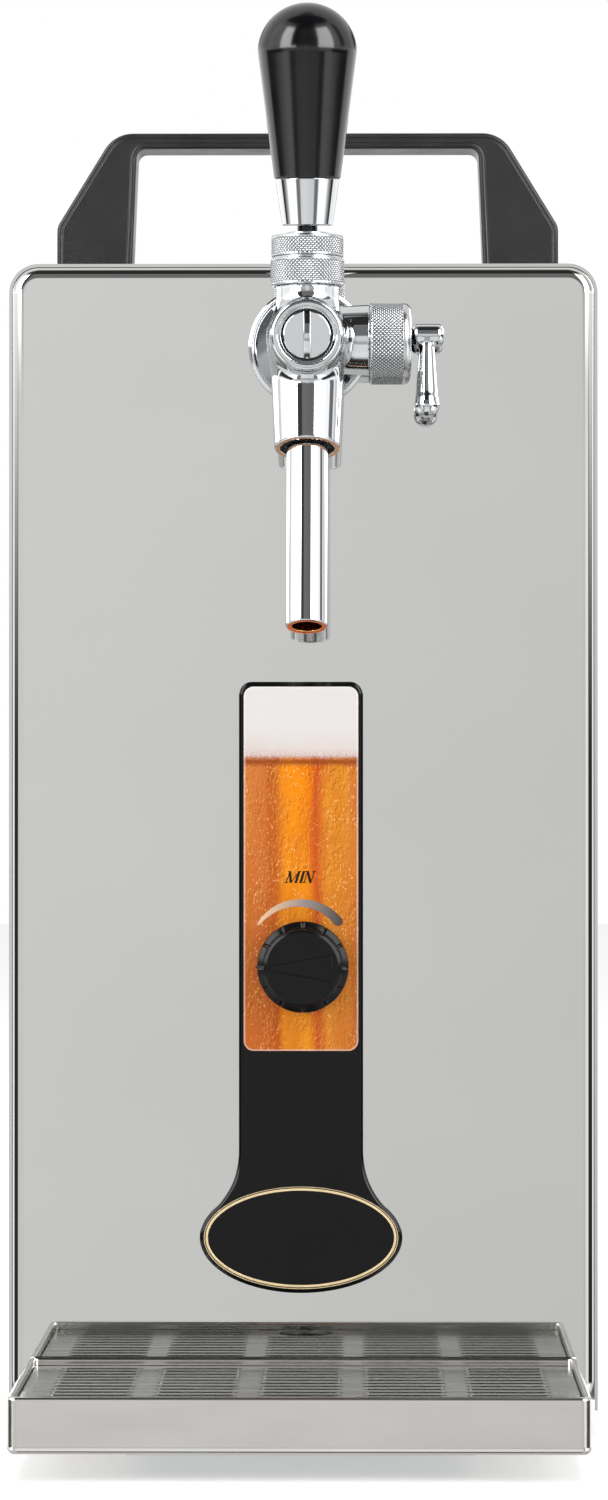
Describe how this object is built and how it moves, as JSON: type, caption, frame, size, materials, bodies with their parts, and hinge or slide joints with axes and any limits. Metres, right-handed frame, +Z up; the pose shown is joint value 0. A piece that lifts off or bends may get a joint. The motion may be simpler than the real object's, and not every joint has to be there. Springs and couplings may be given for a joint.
{
  "type": "countertop beer dispenser with tap",
  "caption": "Slim countertop beer chiller in polished steel with a compensator tap, dial, drip tray and carry handle; a keg joins it by hoses at the back.",
  "frame": {"origin": "middle of the footprint's bounding box on the surface that the feet stand on", "axes": "+Z up, the tap side faces -Y, +X to the right seen from the front"},
  "size_m": [0.18, 0.4306, 0.432],
  "materials": {
    "polished_steel": "mirror-polished stainless sheet",
    "steel_sheet": "mill-finish galvanised sheet",
    "tray_steel": "satin stainless sheet",
    "chrome": "polished chrome plating",
    "screws": "zinc plated",
    "black_plastic": "fine-grained moulded",
    "black_gloss": "polished moulded",
    "label_gloss": "clear-domed plate",
    "window_print": "printed foil under clear resin",
    "rubber": "matt",
    "brass": "machined",
    "copper": "drawn copper tube",
    "aluminium": "as cast",
    "foam": "rigid insulating foam",
    "black_paint": "satin paint",
    "white_plastic": "moulded",
    "hose": "polyethylene hose",
    "guard_wire": "plated wire"
  },
  "bodies": {
    "casing": {"outer_cover": "polished_steel", "front_panel": "polished_steel", "rear_panel": "steel_sheet", "base_plate": "steel_sheet", "feet": "rubber", "case_screws": "screws", "carry_handle": "black_plastic", "handle_screws": "screws", "label_plate": "label_gloss", "window_print": "window_print", "thermostat": "white_plastic", "thermostat_nut": "brass", "rosette": "chrome", "tap_body": "chrome", "front_plug": "chrome", "plug_seal": "rubber", "shank_nut": "brass", "spout": "chrome", "spout_seal": "copper", "bonnet_nut": "chrome", "lever_seal": "rubber", "lock_collar": "chrome", "compensator_nut": "chrome", "tray_support": "steel_sheet", "cooling_block": "aluminium", "insulation": "foam", "compressor": "black_paint", "compressor_mounts": "rubber", "condenser": "aluminium", "fan_frame": "black_plastic", "fan_guard": "guard_wire", "filter_drier": "copper", "refrigerant_lines": "copper", "beer_line": "hose", "air_pump": "black_plastic", "air_hose": "hose", "beer_inlet": "black_plastic", "air_outlet": "black_plastic", "mains_inlet": "black_plastic", "power_switch": "black_plastic", "pump_switch": "black_plastic"},
    "tap_handle": {"lever_stem": "screws", "ferrule": "chrome", "handle_knob": "black_gloss"},
    "piston": {"tap_piston": "white_plastic"},
    "compensator": {"compensator_lever": "chrome"},
    "cone": {"compensator_cone": "white_plastic"},
    "thermostat_dial": {"thermostat_knob": "black_gloss", "thermostat_shaft": "screws"},
    "fan": {"fan_rotor": "black_plastic"},
    "power_rocker": {"power_rocker": "black_gloss"},
    "pump_rocker": {"pump_rocker": "black_gloss"},
    "tray": {"drip_tray": "tray_steel"},
    "grid": {"drip_grid": "tray_steel"},
    "beer_collet": {"beer_collet": "white_plastic"},
    "air_collet": {"air_collet": "white_plastic"}
  },
  "joints": [
    {"name": "tap_handle_tip", "type": "hinge", "parent": "casing", "child": "tap_handle", "pos_m": [0.0017, -0.14225, 0.3598], "axis": [1, 0, 0], "range_deg": [0, 15]},
    {"name": "piston_slide", "type": "slide", "parent": "casing", "child": "piston", "axis": [0, 1, 0], "range_m": [0, 0.006]},
    {"name": "compensator_turn", "type": "hinge", "parent": "casing", "child": "compensator", "pos_m": [0.0017, -0.12175, 0.3335], "axis": [1, 0, 0], "range_deg": [-90, 20]},
    {"name": "cone_slide", "type": "slide", "parent": "casing", "child": "cone", "axis": [0, 1, 0], "range_m": [-0.0028, 0.0007]},
    {"name": "thermostat_turn", "type": "hinge", "parent": "casing", "child": "thermostat_dial", "pos_m": [0, -0.10675, 0.1436], "axis": [0, 1, 0], "range_deg": [0, 270]},
    {"name": "fan_spin", "type": "hinge", "parent": "casing", "child": "fan", "pos_m": [0, 0.19325, 0.24], "axis": [0, 1, 0], "continuous": true},
    {"name": "power_rock", "type": "hinge", "parent": "casing", "child": "power_rocker", "pos_m": [-0.005, 0.19275, 0.055], "axis": [1, 0, 0], "range_deg": [0, 18]},
    {"name": "pump_rock", "type": "hinge", "parent": "casing", "child": "pump_rocker", "pos_m": [0.025, 0.19275, 0.055], "axis": [1, 0, 0], "range_deg": [0, 18]},
    {"name": "tray_slide", "type": "slide", "parent": "casing", "child": "tray", "axis": [0, -1, 0], "range_m": [0, 0.08]},
    {"name": "grid_lift", "type": "slide", "parent": "tray", "child": "grid", "axis": [0, 0, 1], "range_m": [0, 0.04]},
    {"name": "beer_collet_press", "type": "slide", "parent": "casing", "child": "beer_collet", "axis": [0, -1, 0], "range_m": [0, 0.0015], "stiffness_N_per_m": 800, "springref_m": -0.001},
    {"name": "air_collet_press", "type": "slide", "parent": "casing", "child": "air_collet", "axis": [0, -1, 0], "range_m": [0, 0.0015], "stiffness_N_per_m": 800, "springref_m": -0.001}
  ],
  "couplings": [
    {"joint": "piston_slide", "follows": "tap_handle_tip", "m_per_rad": 0.02164},
    {"joint": "cone_slide", "follows": "compensator_turn", "m_per_rad": 0.001706}
  ]
}
